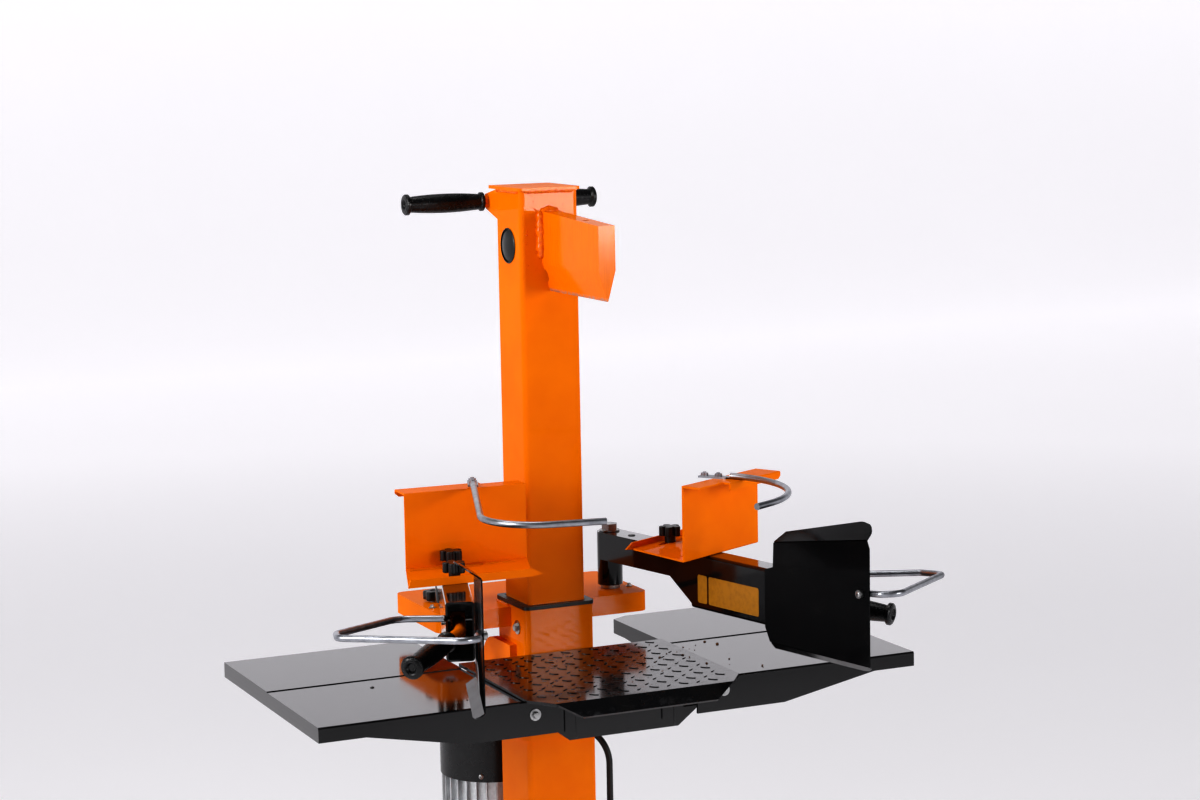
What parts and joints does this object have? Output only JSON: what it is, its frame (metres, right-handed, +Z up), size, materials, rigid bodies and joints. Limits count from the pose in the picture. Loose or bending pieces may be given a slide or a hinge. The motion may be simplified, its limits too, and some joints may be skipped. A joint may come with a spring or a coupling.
{
  "type": "log splitter",
  "caption": "Vertical electro-hydraulic log splitter: square ram column with a down-facing wedge over a split table, swinging control arms with guards, levers and adjustable log guides.",
  "frame": {"origin": "on the floor, at the centre of the underside of the base plate, under the axis of the column", "axes": "+Z up the column, -Y towards the operator and the wedge, +X to the right"},
  "size_m": [1.0124, 1.0162, 1.539],
  "materials": {
    "black_paint": "gloss powder coat",
    "black_plastic": "satin",
    "black_sheet": "semi-gloss powder coat",
    "box_plastic": "satin",
    "bright_steel": "ground",
    "cable_rubber": "satin",
    "cover_plastic": "satin",
    "green_plastic": "gloss",
    "grip_rubber": "satin",
    "knob_plastic": "satin",
    "motor_aluminium": "as cast",
    "orange_paint": "gloss powder coat",
    "red_plastic": "gloss",
    "tread_plate": "satin paint, worn",
    "valve_steel": "satin paint",
    "wheel_tyre": "matte",
    "zinc_bolt": "zinc plate",
    "zinc_rod": "bright zinc plate"
  },
  "bodies": {
    "frame": {"base_frame": "orange_paint", "outer_column": "orange_paint", "column_liner": "black_plastic", "arm_crossmember": "orange_paint", "arm_pivot_bolts": "zinc_bolt", "table_carrier": "orange_paint", "left_table_wing": "black_paint", "right_table_wing": "black_paint", "table_centre_frame": "black_paint", "splitting_plate": "tread_plate", "frame_bolts": "zinc_bolt", "cylinder_barrel": "valve_steel", "motor_housing": "motor_aluminium", "fan_cover": "cover_plastic", "terminal_box": "box_plastic", "pump_mount": "orange_paint", "gear_pump": "motor_aluminium", "valve_block": "valve_steel", "pressure_hose": "cable_rubber", "oil_filler_cap": "black_plastic", "switch_box": "box_plastic", "motor_lead": "cable_rubber", "wheel_axle": "zinc_bolt"},
    "ram": {"inner_column": "orange_paint", "cap_plate": "orange_paint", "splitting_wedge": "orange_paint", "column_plugs": "black_plastic", "carry_handle": "orange_paint", "left_top_grip": "grip_rubber", "right_top_grip": "grip_rubber", "piston_rod": "bright_steel", "piston": "bright_steel", "rod_pin": "bright_steel"},
    "motor_shaft": {"motor_rotor": "bright_steel"},
    "spool": {"valve_spool": "bright_steel"},
    "stop_button": {"stop_button": "red_plastic"},
    "start_button": {"start_button": "green_plastic"},
    "left_arm": {"left_arm_beam": "black_paint", "left_arm_bolts": "zinc_bolt", "left_hand_guard": "black_sheet", "left_guard_hoop": "zinc_rod"},
    "left_control": {"left_lever": "orange_paint", "left_lever_grip": "grip_rubber"},
    "left_guide": {"left_guide_plate": "orange_paint", "left_log_hook": "zinc_rod"},
    "left_rear_knob": {"left_rear_knob": "knob_plastic"},
    "left_front_knob": {"left_front_knob": "knob_plastic"},
    "left_wheel": {"left_wheel": "wheel_tyre"},
    "right_arm": {"right_arm_beam": "black_paint", "right_arm_bolts": "zinc_bolt", "right_hand_guard": "black_sheet", "right_guard_hoop": "zinc_rod"},
    "right_control": {"right_lever": "orange_paint", "right_lever_grip": "grip_rubber"},
    "right_guide": {"right_guide_plate": "orange_paint", "right_log_hook": "zinc_rod"},
    "right_rear_knob": {"right_rear_knob": "knob_plastic"},
    "right_front_knob": {"right_front_knob": "knob_plastic"},
    "right_wheel": {"right_wheel": "wheel_tyre"}
  },
  "joints": [
    {"name": "ram_slide", "type": "slide", "parent": "frame", "child": "ram", "axis": [0, 0, -1], "range_m": [0, 0.5]},
    {"name": "motor_spin", "type": "hinge", "parent": "frame", "child": "motor_shaft", "pos_m": [0, 0.243, 0.5], "axis": [0, 0, 1], "continuous": true},
    {"name": "spool_press", "type": "slide", "parent": "frame", "child": "spool", "axis": [0, 0, -1], "range_m": [0, 0.003], "stiffness_N_per_m": 2000, "springref_m": -0.0015},
    {"name": "stop_press", "type": "slide", "parent": "frame", "child": "stop_button", "axis": [0, 1, 0], "range_m": [0, 0.002], "stiffness_N_per_m": 800},
    {"name": "start_press", "type": "slide", "parent": "frame", "child": "start_button", "axis": [0, 1, 0], "range_m": [0, 0.002], "stiffness_N_per_m": 800},
    {"name": "left_arm_swing", "type": "hinge", "parent": "frame", "child": "left_arm", "pos_m": [-0.145, 0.06, 0.9], "axis": [0, 0, 1], "range_deg": [-25, 6]},
    {"name": "left_lever_press", "type": "hinge", "parent": "left_arm", "child": "left_control", "pos_m": [-0.25895, -0.27093, 0.914], "axis": [0.9455, -0.3256, 0], "range_deg": [0, 14], "stiffness_Nm_per_rad": 8, "springref_deg": -20.05},
    {"name": "left_guide_slide", "type": "slide", "parent": "left_arm", "child": "left_guide", "axis": [0.9993, -0.0384, 0], "range_m": [-0.036, 0.004]},
    {"name": "left_rear_knob_turn", "type": "hinge", "parent": "left_arm", "child": "left_rear_knob", "pos_m": [-0.20477, -0.11359, 0.98], "axis": [0, 0, 1], "continuous": true},
    {"name": "left_front_knob_turn", "type": "hinge", "parent": "left_arm", "child": "left_front_knob", "pos_m": [-0.23606, -0.20446, 0.98], "axis": [0, 0, 1], "continuous": true},
    {"name": "left_wheel_spin", "type": "hinge", "parent": "frame", "child": "left_wheel", "pos_m": [-0.261, 0.3, 0.102], "axis": [1, 0, 0], "continuous": true},
    {"name": "right_arm_swing", "type": "hinge", "parent": "frame", "child": "right_arm", "pos_m": [0.145, 0.06, 0.9], "axis": [0, 0, 1], "range_deg": [-8, 25]},
    {"name": "right_lever_press", "type": "hinge", "parent": "right_arm", "child": "right_control", "pos_m": [0.22195, -0.28144, 0.914], "axis": [0.9755, 0.2198, 0], "range_deg": [0, 14], "stiffness_Nm_per_rad": 8, "springref_deg": -20.05},
    {"name": "right_guide_slide", "type": "slide", "parent": "right_arm", "child": "right_guide", "axis": [-0.891, -0.454, 0], "range_m": [0, 0.035]},
    {"name": "right_rear_knob_turn", "type": "hinge", "parent": "right_arm", "child": "right_rear_knob", "pos_m": [0.18047, -0.09738, 0.98], "axis": [0, 0, 1], "continuous": true},
    {"name": "right_front_knob_turn", "type": "hinge", "parent": "right_arm", "child": "right_front_knob", "pos_m": [0.20134, -0.19, 0.98], "axis": [0, 0, 1], "continuous": true},
    {"name": "right_wheel_spin", "type": "hinge", "parent": "frame", "child": "right_wheel", "pos_m": [0.261, 0.3, 0.102], "axis": [1, 0, 0], "continuous": true}
  ]
}
